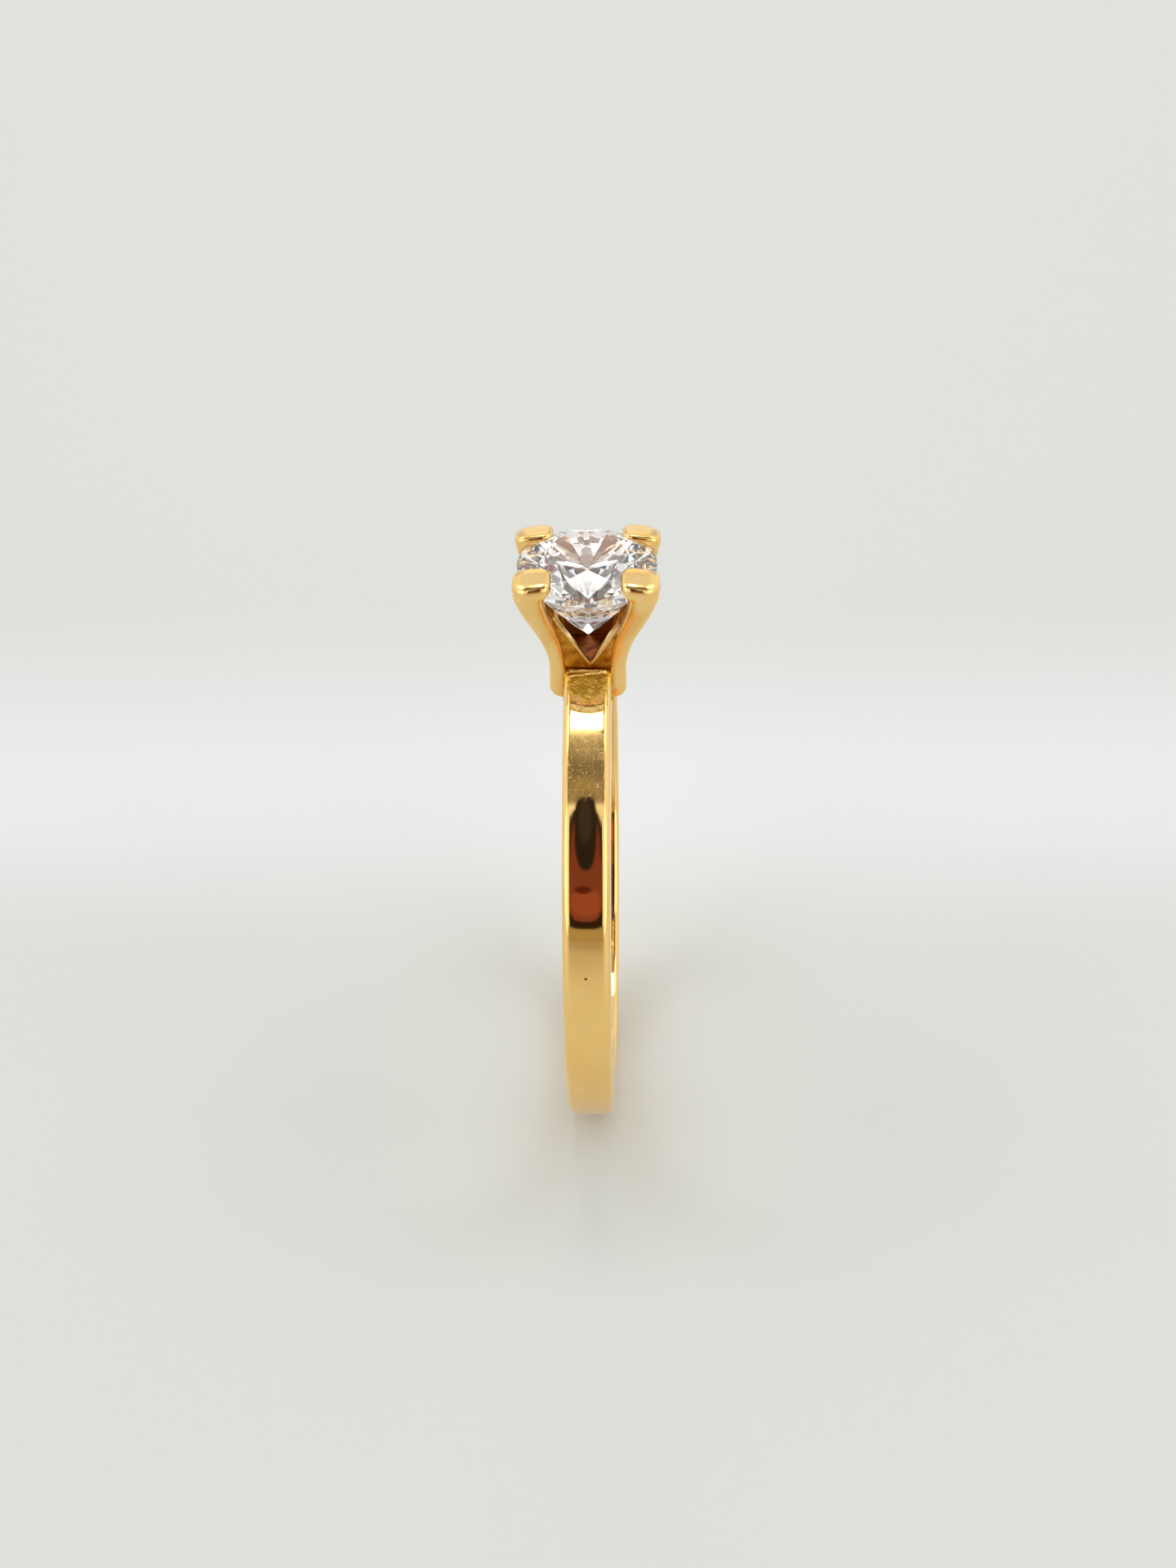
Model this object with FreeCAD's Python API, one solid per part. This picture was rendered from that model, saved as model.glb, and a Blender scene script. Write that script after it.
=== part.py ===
import FreeCAD, Part
import math
import os
from FreeCAD import Vector

# Engagement ring, in millimetres. X runs along the finger, Z points up through the stone,
# and the origin is the centre of the finger hole.

# Shank: a plain band with soft edges.
boreRadius = 8.5
bandThickness = 1.5
bandWidth = 1.82
outerEdgeRadius = 0.3
innerEdgeRadius = 0.2
bandRadius = boreRadius + bandThickness

# Solder: a thin saddle between the band and the head.
solderThickness = 0.06
solderProud = 0.05

# Stone: a round brilliant.
stoneRadius = 2.68
tableRadius = 1.5
crownHeight = 0.58
girdleHeight = 0.42
pavilionDepth = 2.74
starReach = 0.5
lowerFacetReach = 0.24
stoneTurn = 2.0
girdleTop = 13.87
tableTop = girdleTop + crownHeight
girdleBottom = girdleTop - girdleHeight
culet = girdleBottom - pavilionDepth
mainFacets = 8
facetStep = 360.0 / mainFacets

# Claws: each rises straight, then sweeps outwards and ends in a flat pad over the stone.
clawFoot = 8.62
sweepStart = 9.95
sweepEnd = 14.2
bendTop = 13.5
padBase = 13.85
padTop = 14.3
padSlope = 9.0
padEdgeRadius = 0.16
toeRadius = 0.15
clawCornerRadius = 0.24
footInnerX = 0.81
footOuterX = 1.48
headInnerX = 1.66
headOuterX = 2.82
padInnerX = 1.34
footInnerY = 0.75
footOuterY = 1.42
headInnerY = 1.5
headOuterY = 2.56
padInnerY = 1.2
sweepStations = 8
seatClearance = 0.02

# Base block, cheeks and notched webs of the head.
baseTop = 10.15
cheekRecess = 0.07
cheekFoot = 8.87
notchBottom = 10.2
notchTop = 12.7
notchHalfX = 1.48
notchHalfY = 1.33
webThickness = 0.34
webFootY = 1.34
webHeadY = 1.56
webFootX = 1.38
webHeadX = 1.62

# Lengths that only have to be long enough to cut through, and the smallest that counts.
reach = 6.0
padHeadroom = 1.0
tolerance = 1e-6


# Closed section of the band in the XZ plane, grown outwards on its outer side and ends.
def bandSection(grow):
    half = bandWidth / 2 + grow
    low = boreRadius - grow
    high = bandRadius + grow
    soft = outerEdgeRadius + grow
    ease = innerEdgeRadius
    face = Part.Face(Part.makePolygon([
        Vector(-half, 0, low), Vector(half, 0, low),
        Vector(half, 0, high), Vector(-half, 0, high), Vector(-half, 0, low)]))
    solid = face.extrude(Vector(0, 1, 0))
    solid = solid.makeFillet(soft, edgesAt(solid, high))
    solid = solid.makeFillet(ease, edgesAt(solid, low))
    return next(f for f in solid.Faces if abs(f.CenterOfMass.y) < tolerance)


# The solid's corner edges that run along Y at height z.
def edgesAt(solid, z):
    return [e for e in solid.Edges
            if abs(e.BoundBox.YLength - 1) < tolerance and abs(e.CenterOfMass.z - z) < tolerance]


# The band's section turned once around the finger axis.
def band(grow=0.0):
    return bandSection(grow).revolve(Vector(0, 0, 0), Vector(1, 0, 0), 360)


# A smooth S from low to high, as z goes from the sweep's start to its end.
def sweep(low, high, z):
    t = min(max((z - sweepStart) / (sweepEnd - sweepStart), 0.0), 1.0)
    return low + (high - low) * t * t * (3 - 2 * t)


# Closed wire of a rectangle with round corners, level at height z.
def roundedRectangle(x0, x1, y0, y1, z):
    corners = [(x1, y1, 0), (x0, y1, 90), (x0, y0, 180), (x1, y0, 270)]
    radius = clawCornerRadius
    points = []
    for x, y, start in corners:
        cx = x - radius if x == x1 else x + radius
        cy = y - radius if y == y1 else y + radius
        points.append([Vector(cx + radius * math.cos(math.radians(start + turn)),
                              cy + radius * math.sin(math.radians(start + turn)), z)
                       for turn in (0, 45, 90)])
    edges = []
    for index, arc in enumerate(points):
        edges.append(Part.Arc(*arc).toShape())
        edges.append(Part.makeLine(arc[2], points[(index + 1) % 4][0]))
    return Part.Wire(edges)


# The claw of the corner where x and y are positive.
def claw():
    foot = Part.Face(clawSection(clawFoot)).extrude(Vector(0, 0, sweepStart - clawFoot))
    step = (bendTop - sweepStart) / sweepStations
    bend = Part.makeLoft([clawSection(sweepStart + step * i) for i in range(sweepStations + 1)], True)
    overPad = padSection(padTop + padHeadroom)
    pad = Part.makeLoft([clawSection(bendTop), padSection(padBase), overPad], True, True)
    solid = foot.fuse([bend, pad.common(padLimit())]).removeSplitter()
    top = max(solid.Faces, key=lambda f: f.CenterOfMass.z)
    solid = solid.makeFillet(padEdgeRadius, top.Edges)
    toe = min(solid.Faces, key=lambda f: f.CenterOfMass.z)
    solid = solid.makeFillet(toeRadius, toe.Edges)
    return solid.cut(band(solderThickness)).cut(seat())


# The claw's level section at height z.
def clawSection(z):
    return roundedRectangle(sweep(footInnerX, headInnerX, z), sweep(footOuterX, headOuterX, z),
                            sweep(footInnerY, headInnerY, z), sweep(footOuterY, headOuterY, z), z)


# The pad's level section, which reaches further over the stone.
def padSection(z):
    return roundedRectangle(padInnerX, headOuterX, padInnerY, headOuterY, z)


# The shape moved to the corner or side of the head where x and y have these signs.
def mirrored(shape, sideX, sideY):
    if sideX < 0:
        shape = shape.mirror(Vector(0, 0, 0), Vector(1, 0, 0))
    if sideY < 0:
        shape = shape.mirror(Vector(0, 0, 0), Vector(0, 1, 0))
    return shape


# Everything below the pad's sloping top, which falls away from the stone.
def padLimit():
    block = Part.makeBox(reach, reach, reach, Vector(-reach / 2, -reach / 2, -reach))
    block.rotate(Vector(0, 0, 0), Vector(1, -1, 0), -padSlope)
    block.translate(Vector((padInnerX + headOuterX) / 2, (padInnerY + headOuterY) / 2, padTop))
    return block


# The space the setter cuts for the stone: its cone, girdle and crown, a hair larger.
def seat():
    r = stoneRadius + seatClearance
    gap = seatClearance
    crownSlope = crownHeight / (stoneRadius - tableRadius)
    rise = crownSlope * r
    outline = Part.makePolygon([
        Vector(0, 0, culet - gap), Vector(r, 0, girdleBottom - gap), Vector(r, 0, girdleTop + gap),
        Vector(0, 0, girdleTop + gap + rise), Vector(0, 0, culet - gap)])
    return Part.Face(outline).revolve(Vector(0, 0, 0), Vector(0, 0, 1), 360)


# The block that sits astride the band and carries the claws and webs.
def base():
    tall = baseTop - clawFoot
    block = Part.makeBox(2 * webFootX, 2 * webFootY, tall, Vector(-webFootX, -webFootY, clawFoot))
    sides = Part.makeBox(2 * webFootX, 2 * webFootY, bandRadius - clawFoot,
                         Vector(-webFootX, -webFootY, clawFoot))
    core = Part.makeBox(bandWidth, 2 * webFootY, tall, Vector(-bandWidth / 2, -webFootY, clawFoot))
    return block.cut(sides.cut(core)).cut(band(solderThickness))


# A plate against one side of the band, between the front and back claws' tails.
def cheek(side):
    inner = bandWidth / 2 + solderThickness
    outer = footOuterX - cheekRecess
    tall = bandRadius - cheekFoot
    plate = Part.makeBox(outer - inner, 2 * footInnerY, tall, Vector(inner, -footInnerY, cheekFoot))
    if side < 0:
        plate = plate.mirror(Vector(0, 0, 0), Vector(1, 0, 0))
    return plate.cut(band(solderThickness))


# A closed outline pushed along a direction.
def prism(points, direction):
    return Part.Face(Part.makePolygon(points + [points[0]])).extrude(direction)


# A notched wall that leans outwards on the +Y side, trimmed to its claws and the stone.
def web(footOut, headOut, footSide, headSide, notchHalf, corner):
    slab = prism([Vector(-reach, footOut, baseTop), Vector(-reach, headOut, notchTop),
                  Vector(-reach, headOut - webThickness, notchTop),
                  Vector(-reach, footOut - webThickness, baseTop)], Vector(2 * reach, 0, 0))
    side = sweep(footSide, headSide, notchTop)
    half = [Vector(0, 0, notchBottom), Vector(notchHalf, 0, notchTop), Vector(side, 0, notchTop),
            Vector(footSide, 0, baseTop)]
    other = [Vector(-point.x, 0, point.z) for point in reversed(half[1:])]
    notched = prism(half + other, Vector(0, reach, 0))
    return slab.common(notched).cut(corner).cut(mirrored(corner, -1, 1)).cut(seat())


# The solder between head and band: the head's footprint in a thin layer on the band.
def solder():
    halfY = footOuterY + solderProud
    space = Part.makeBox(reach, 2 * halfY, reach, Vector(-reach / 2, -halfY, clawFoot))
    return band(solderThickness).common(space).cut(band())


# A point at a radius and an angle about the stone's axis.
def polar(radius, degrees, z):
    return Vector(radius * math.cos(math.radians(degrees)), radius * math.sin(math.radians(degrees)), z)


# Grind one facet: remove everything outside the plane through three points.
def cutFacet(solid, a, b, c):
    normal = (b - a).cross(c - a).normalize()
    if normal.dot(a - Vector(0, 0, (girdleTop + girdleBottom) / 2)) < 0:
        normal = -normal
    tool = Part.makeBox(2 * reach, 2 * reach, reach, Vector(-reach, -reach, 0))
    tool.Placement = FreeCAD.Placement(a, FreeCAD.Rotation(Vector(0, 0, 1), normal))
    return solid.cut(tool)


# A round brilliant: a cylinder with its crown and pavilion facets ground one by one.
def diamond():
    stone = Part.makeCylinder(stoneRadius, tableTop - culet, Vector(0, 0, culet))
    half = facetStep / 2
    crownSlope = crownHeight / (stoneRadius - tableRadius)
    pavilionSlope = pavilionDepth / stoneRadius
    starRadius = tableRadius + starReach * (stoneRadius - tableRadius)
    starZ = tableTop - crownSlope * (starRadius * math.cos(math.radians(half)) - tableRadius)
    lowRadius = lowerFacetReach * stoneRadius
    lowZ = culet + pavilionSlope * lowRadius * math.cos(math.radians(half))
    for index in range(mainFacets):
        turn = stoneTurn + index * facetStep + half
        star = polar(starRadius, turn, starZ)
        low = polar(lowRadius, turn, lowZ)
        nextStar = polar(starRadius, turn + facetStep, starZ)
        nextLow = polar(lowRadius, turn + facetStep, lowZ)
        stone = cutFacet(stone, star, nextStar, polar(stoneRadius, turn + half, girdleTop))
        stone = cutFacet(stone, low, nextLow, Vector(0, 0, culet))
        stone = cutFacet(stone, star, polar(tableRadius, turn - half, tableTop),
                         polar(tableRadius, turn + half, tableTop))
        for side in (-half, half):
            stone = cutFacet(stone, star, polar(stoneRadius, turn, girdleTop),
                             polar(stoneRadius, turn + side, girdleTop))
            stone = cutFacet(stone, low, polar(stoneRadius, turn, girdleBottom),
                             polar(stoneRadius, turn + side, girdleBottom))
    return stone


# Build every piece and write one file for each.
def main():
    os.makedirs("parts", exist_ok=True)
    corner = claw()
    claws = {
        "front_left_claw": mirrored(corner, -1, -1),
        "front_right_claw": mirrored(corner, 1, -1),
        "back_left_claw": mirrored(corner, -1, 1),
        "back_right_claw": corner,
    }
    backWeb = web(webFootY, webHeadY, (footInnerX + footOuterX) / 2, (headInnerX + headOuterX) / 2,
                  notchHalfX, corner)
    turned = corner.copy()
    turned.rotate(Vector(0, 0, 0), Vector(0, 0, 1), 90)
    leftWeb = web(webFootX, webHeadX, (footInnerY + footOuterY) / 2, (headInnerY + headOuterY) / 2,
                  notchHalfY, mirrored(turned, -1, 1))
    leftWeb.rotate(Vector(0, 0, 0), Vector(0, 0, 1), 90)
    nodes = {
        "shank": band(),
        "head_solder": solder(),
        "head_base": base(),
        "left_cheek": cheek(-1),
        "right_cheek": cheek(1),
        "front_web": mirrored(backWeb, 1, -1),
        "back_web": backWeb,
        "left_web": leftWeb,
        "right_web": mirrored(leftWeb, -1, 1),
        "diamond": diamond(),
    }
    for block in ("head_base", "left_cheek", "right_cheek"):
        for neighbour in claws.values():
            nodes[block] = nodes[block].cut(neighbour)
    nodes.update(claws)
    for name, shape in nodes.items():
        shape.exportStep("parts/" + name + ".step")
        print(name, len(shape.Solids), "solid", shape.isValid(), round(shape.Volume, 3), "mm3")


main()
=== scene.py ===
import math
import bpy
import numpy as np
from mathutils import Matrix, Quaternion, Vector


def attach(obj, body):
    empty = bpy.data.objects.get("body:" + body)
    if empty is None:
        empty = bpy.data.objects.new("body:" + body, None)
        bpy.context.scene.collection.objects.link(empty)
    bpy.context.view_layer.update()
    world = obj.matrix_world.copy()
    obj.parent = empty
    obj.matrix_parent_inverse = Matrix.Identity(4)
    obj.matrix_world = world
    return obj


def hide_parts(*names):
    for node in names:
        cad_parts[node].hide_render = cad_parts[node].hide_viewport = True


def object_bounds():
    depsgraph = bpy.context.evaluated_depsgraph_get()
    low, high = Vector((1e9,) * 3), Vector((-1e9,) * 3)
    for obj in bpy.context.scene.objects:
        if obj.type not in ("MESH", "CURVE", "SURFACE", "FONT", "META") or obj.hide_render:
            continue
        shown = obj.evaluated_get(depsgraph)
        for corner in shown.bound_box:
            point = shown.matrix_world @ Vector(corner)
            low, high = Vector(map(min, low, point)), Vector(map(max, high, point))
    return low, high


# A solitaire engagement ring. X runs along the finger, Z points up through the stone,
# and the origin is the centre of the finger hole. Shapes are worked out in millimetres.

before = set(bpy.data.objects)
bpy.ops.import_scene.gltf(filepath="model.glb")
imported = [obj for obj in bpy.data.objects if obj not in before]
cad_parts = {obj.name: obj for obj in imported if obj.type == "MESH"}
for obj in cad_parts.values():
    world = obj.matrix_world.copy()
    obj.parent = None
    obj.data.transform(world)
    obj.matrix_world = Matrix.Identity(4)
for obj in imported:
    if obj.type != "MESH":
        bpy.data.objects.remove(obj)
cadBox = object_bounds()
mm = 0.001
print("frame loaded:", len(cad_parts), "nodes")


# turns an sRGB hex colour to the linear one that shaders take
def linearColour(hexCode):
    parts = [int(hexCode[i:i + 2], 16) / 255 for i in (1, 3, 5)]
    return tuple(p / 12.92 if p <= 0.04045 else ((p + 0.055) / 1.055) ** 2.4 for p in parts) + (1.0,)


# adds a node, sets its fields and inputs, and links what is given as (node, output). An input goes
# by its name, or by i and its place
def addNode(tree, kind, fields=None, **inputs):
    node = tree.nodes.new("ShaderNode" + kind)
    for field, value in (fields or {}).items():
        setattr(node, field, value)
    for name, value in inputs.items():
        key = int(name[1:]) if name[1:].isdigit() else name.replace("_", " ")
        socket = node.inputs[key]
        if isinstance(value, tuple) and isinstance(value[0], bpy.types.Node):
            tree.links.new(value[0].outputs[value[1]], socket)
        else:
            socket.default_value = value
    return node


# joins a grid of points into quads, rows along the path and columns around it
def ringQuads(rows, columns):
    r, c = np.meshgrid(np.arange(rows - 1), np.arange(columns), indexing="ij")
    right = (c + 1) % columns
    return np.stack([r * columns + c, r * columns + right,
                     (r + 1) * columns + right, (r + 1) * columns + c], axis=-1).reshape(-1, 4)


# makes a piece from vertices in millimetres and lists of faces
def addPiece(name, points, faces, material, nodes):
    mesh = bpy.data.meshes.new(name)
    mesh.from_pydata((points * mm).tolist(), [], faces)
    mesh.update()
    mesh.shade_smooth()
    mesh.materials.append(material)
    piece = bpy.data.objects.new(name, mesh)
    bpy.context.scene.collection.objects.link(piece)
    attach(piece, "root")
    if nodes:
        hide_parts(*nodes)
    return piece


# stores a number from 0 to 1 for each point of the grid and the two points that close its ends
def mark(piece, name, grid):
    layer = piece.data.attributes.new(name, "FLOAT", "POINT")
    layer.data.foreach_set("value", np.append(grid.reshape(-1), [0, 0]).astype(np.float32))


# rows x columns x 3 points, closed around, with a fan at each end of the path;
# the faces are turned round where a mirror image has made them point inwards
def closedSweep(grid):
    rows, columns, _ = grid.shape
    ends = np.stack([grid[0].mean(axis=0), grid[-1].mean(axis=0)])
    points = np.concatenate([grid.reshape(-1, 3), ends])
    quads = ringQuads(rows, columns)
    first, last, start = rows * columns, rows * columns + 1, (rows - 1) * columns
    here = np.arange(columns)
    following = (here + 1) % columns
    opening = np.stack([np.full(columns, first), following, here], axis=1)
    closing = np.stack([np.full(columns, last), start + here, start + following], axis=1)
    fans = np.stack([opening, closing], axis=1).reshape(-1, 3)
    # the triangles of a surface that faces outwards add up to a volume above zero
    a, b, c = points[np.concatenate([quads[:, :3], quads[:, [0, 2, 3]], fans])].transpose(1, 0, 2)
    order = -1 if np.einsum("ij,ij->", a, np.cross(b, c)) < 0 else 1
    return points, quads[:, ::order].tolist() + fans[:, ::order].tolist()


# 0 below low, 1 above high, and three t squared minus two t cubed between them
def smoothStep(low, high, x):
    t = np.clip((x - low) / (high - low), 0, 1)
    return t * t * (3 - 2 * t)


# where the camera stands: angles in degrees, distance and target in mm
viewing = {
    "azimuth": 1.78, "elevation": 33.0, "roll": 1.05,
    "distance": 150.0, "target": (-0.116, 0.0, 3.842),
    "lens": 87.11, "sensor": 36, "nearest": 5, "furthest": 10000,
}


def makeCamera():
    a, e = math.radians(viewing["azimuth"]), math.radians(viewing["elevation"])
    back = Vector((math.sin(a) * math.cos(e), -math.cos(a) * math.cos(e), math.sin(e)))
    data = bpy.data.cameras.new("camera")
    data.lens = viewing["lens"]
    data.sensor_width = viewing["sensor"]
    data.clip_start = viewing["nearest"] * mm
    data.clip_end = viewing["furthest"] * mm
    camera = bpy.data.objects.new("camera", data)
    camera.location = (Vector(viewing["target"]) + viewing["distance"] * back) * mm
    lean = Quaternion((0, 0, 1), -math.radians(viewing["roll"]))
    camera.rotation_euler = (back.to_track_quat("Z", "Y") @ lean).to_euler()
    bpy.context.scene.collection.objects.link(camera)
    bpy.context.scene.camera = camera


# the studio is a pale light tent, and each card in it is a rounded patch of light: over is its
# lowest and highest angle in degrees, up from the front horizon and over the ring, across is how
# far its two sides lie from the middle, as sines, and square is how square its corners are, from
# 2, an ellipse, upwards. blur is how soft its border is, and light its red, green and blue. middle
# is where the middle lies sideways, as a sine
studio = {
    "tent": "#F2F3F2", "tentLight": 1.07, "middle": -0.026,
    "bounces": 20, "glossyBounces": 16, "throughBounces": 20,
    "cards": {
        # what stands over the ring's front: a dim room, its upper part and a paler gap
        "room": dict(over=(62, 99), across=(-0.50, 0.50), square=6, blur=0.20,
                     light=(0.20, 0.18, 0.15)),
        "upper room": dict(over=(83, 99), across=(-0.17, 0.17), square=5, blur=0.35,
                           light=(0.40, 0.40, 0.38)),
        "gap": dict(over=(62, 72), across=(-0.17, 0.17), square=5, blur=0.70,
                    light=(0.46, 0.40, 0.28)),
        # around it: softboxes at both sides, the front edge of the table, wings, wall and ceiling
        "side softboxes": dict(over=(-12, 66), across=(0.55, 0.93), square=4, blur=0.15,
                               light=(1.9, 1.87, 1.82)),
        "table edge": dict(over=(-4, 7), across=(-0.30, 0.30), square=4, blur=0.5,
                           light=(0.42, 0.33, 0.20)),
        "softbox wings": dict(over=(92, 116), across=(0.34, 0.66), square=4, blur=0.15,
                              light=(2.5, 2.5, 2.5)),
        "back wall": dict(over=(146, 176), across=(0.17, 0.46), square=5, blur=0.20,
                          light=(0.66, 0.69, 0.74)),
        "ceiling": dict(over=(113, 139), across=(-0.30, 0.30), square=5, blur=0.15,
                        light=(0.80, 0.83, 0.90)),
        # dark gear and the hands that hold it, in front
        "dark rim": dict(over=(5, 48), across=(-0.205, 0.205), square=5, blur=0.06,
                         light=(0.030, 0.016, 0.010)),
        "dark shoulders": dict(over=(16, 61.5), across=(-0.195, 0.175), square=2.4, blur=0.08,
                               light=(0.030, 0.018, 0.012)),
        "hands": dict(over=(8.5, 42), across=(-0.165, 0.155), square=4, blur=0.07,
                      light=(0.22, 0.060, 0.045)),
        "wrists": dict(over=(14, 58), across=(-0.150, 0.140), square=2.6, blur=0.15,
                       light=(0.20, 0.055, 0.040)),
        "knuckles": dict(over=(11, 23), across=(-0.145, 0.140), square=3, blur=0.35,
                         light=(0.30, 0.085, 0.055)),
        "crease": dict(over=(21, 24.5), across=(-0.110, 0.06), square=2, blur=0.6,
                       light=(0.10, 0.020, 0.012)),
        "lens": dict(over=(31.5, 68), across=(-0.112, 0.106), square=2.5, blur=0.10,
                     light=(0.023, 0.019, 0.021)),
        "lens glass": dict(over=(44, 65), across=(-0.07, 0.06), square=2, blur=0.7,
                           light=(0.047, 0.039, 0.038)),
        # the main light, overhead, and a warm wall behind
        "softbox": dict(over=(97.5, 112.5), across=(-0.155, 0.155), square=6, blur=0.09,
                        light=(4.9, 4.9, 4.9)),
        "blush wall": dict(over=(140, 160), across=(-0.15, 0.15), square=3, blur=0.30,
                           light=(1.45, 1.15, 1.02)),
    },
}


# the world's light: for each direction, the tent's tone with the cards laid over it in order
def makeStudio():
    world = bpy.data.worlds.new("lightTent")
    world.use_nodes = True
    tree = world.node_tree
    tree.nodes.clear()
    where = addNode(tree, "TexCoord")
    xyz = addNode(tree, "SeparateXYZ", Vector=(where, "Generated"))
    front = addNode(tree, "Math", {"operation": "MULTIPLY"}, i0=(xyz, "Y"), i1=-1.0)
    angle = addNode(tree, "Math", {"operation": "ARCTAN2"}, i0=(xyz, "Z"), i1=(front, 0))
    angle = addNode(tree, "Math", {"operation": "DEGREES"}, i0=(angle, 0))
    away = addNode(tree, "Math", {"operation": "SUBTRACT"}, i0=(xyz, "X"), i1=studio["middle"])
    apart = addNode(tree, "Math", {"operation": "ABSOLUTE"}, i0=(away, 0))
    light, output = addNode(tree, "RGB"), 0
    light.outputs[0].default_value = [c * studio["tentLight"] for c in linearColour(studio["tent"])]
    for card in studio["cards"].values():
        # a card that starts right of the middle stands on both sides of it
        sideways = apart if card["across"][0] > 0 else away
        terms = []
        for source, (low, high) in ((angle, card["over"]), (sideways, card["across"])):
            offset = addNode(tree, "Math", {"operation": "SUBTRACT"}, i0=(source, 0), i1=(low + high) / 2)
            share = addNode(tree, "Math", {"operation": "DIVIDE"}, i0=(offset, 0), i1=(high - low) / 2)
            share = addNode(tree, "Math", {"operation": "ABSOLUTE"}, i0=(share, 0))
            terms.append(addNode(tree, "Math", {"operation": "POWER"}, i0=(share, 0), i1=card["square"]))
        total = addNode(tree, "Math", {"operation": "ADD"}, i0=(terms[0], 0), i1=(terms[1], 0))
        reach = addNode(tree, "Math", {"operation": "POWER"}, i0=(total, 0), i1=1 / card["square"])
        mask = addNode(tree, "MapRange", {"interpolation_type": "SMOOTHSTEP"}, Value=(reach, 0),
                       From_Min=1 + card["blur"] / 2, From_Max=1 - card["blur"] / 2)
        light = addNode(tree, "Mix", {"data_type": "RGBA"}, i0=(mask, 0), i6=(light, output),
                        i7=card["light"] + (1,))
        output = 2
    glow = addNode(tree, "Background", Color=(light, output), Strength=1.0)
    addNode(tree, "OutputWorld", Surface=(glow, 0))
    scene = bpy.context.scene
    scene.world = world
    scene.view_settings.view_transform = "Standard"
    # light turns many times inside the stone before it comes out
    scene.cycles.max_bounces = studio["bounces"]
    scene.cycles.glossy_bounces = studio["glossyBounces"]
    scene.cycles.transmission_bounces = studio["throughBounces"]


# the floor's tones change with y, in mm: a lighter band, a painted band of light, crosses it behind
# the ring, and in front painted shade turns it warmer and darker in two slow steps, as it leaves the light
floorPlan = {
    "half": 700.0, "ior": 1.49, "roughness": 0.36, "gloss": 0.15,
    "colour": "#DBDEDA", "shade": 0.975, "cloud": 80.0,
    "paintedLightColour": "#E7E9EA", "band": (7.5, 19.0, 22.0, 38.0),
    "nearColour": "#D2CFC6", "near": (-28.0, -66.0),
    "farColour": "#B9B3A6", "far": (-60.0, -240.0),
}


# acrylic sheet, cast and then blasted matte: an even tone, clouded over about 80 mm by wiping,
# and a soft blurred reflection, with a painted band of light and painted shade laid over it by y
def floorMaterial():
    plan = floorPlan
    mat = bpy.data.materials.new("matteAcrylicSheet")
    mat.use_nodes = True
    tree = mat.node_tree
    shader = tree.nodes["Principled BSDF"]
    shader.inputs["IOR"].default_value = plan["ior"]
    shader.inputs["Roughness"].default_value = plan["roughness"]
    shader.inputs["Specular IOR Level"].default_value = plan["gloss"]
    place = addNode(tree, "TexCoord")
    xyz = addNode(tree, "SeparateXYZ", Vector=(place, "Object"))
    cloud = addNode(tree, "TexNoise", Vector=(place, "Object"), Scale=1 / (plan["cloud"] * mm), Detail=2.0)
    pale = linearColour(plan["colour"])
    shade = tuple(plan["shade"] * p for p in pale[:3]) + (1,)
    tone = addNode(tree, "Mix", {"data_type": "RGBA"}, i0=(cloud, 0), i6=pale, i7=shade)
    # a painted band of light across the floor behind the ring
    rise, full, fall, end = (y * mm for y in plan["band"])
    rising = addNode(tree, "MapRange", {"interpolation_type": "SMOOTHSTEP"}, Value=(xyz, "Y"),
                     From_Min=rise, From_Max=full)
    falling = addNode(tree, "MapRange", {"interpolation_type": "SMOOTHSTEP"}, Value=(xyz, "Y"),
                      From_Min=end, From_Max=fall)
    across = addNode(tree, "Math", {"operation": "MULTIPLY"}, i0=(rising, 0), i1=(falling, 0))
    tone = addNode(tree, "Mix", {"data_type": "RGBA"}, i0=(across, 0), i6=(tone, 2),
                   i7=linearColour(plan["paintedLightColour"]))
    # painted shade in front of the ring, in two steps, warmer and darker
    for step in ("near", "far"):
        start, stop = plan[step]
        share = addNode(tree, "MapRange", {"interpolation_type": "SMOOTHSTEP"}, Value=(xyz, "Y"),
                        From_Min=start * mm, From_Max=stop * mm)
        tone = addNode(tree, "Mix", {"data_type": "RGBA"}, i0=(share, 0), i6=(tone, 2),
                       i7=linearColour(plan[step + "Colour"]))
    tree.links.new(tone.outputs[2], shader.inputs["Base Color"])
    return mat


# one flat square at the ring's lowest point
def makeFloor():
    h, low = floorPlan["half"], cadBox[0][2] / mm
    corners = np.array([[-h, -h, low], [h, -h, low], [h, h, low], [-h, h, low]]) * mm
    mesh = bpy.data.meshes.new("floor")
    mesh.from_pydata(corners.tolist(), [], [[0, 1, 2, 3]])
    mesh.materials.append(floorMaterial())
    floor = bpy.data.objects.new("floor", mesh)
    bpy.context.scene.collection.objects.link(floor)


# the first is painted shade: a darker tone with a rougher finish, on faces that look into the basket.
# The second is an edge that wear has rubbed smooth, with a painted highlight in a paler tone
paintedShade = {"tone": "#B9741C", "roughness": 0.46}
burnishAndHighlight = {"tone": "#FFDC96", "roughness": 0.10}

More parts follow.
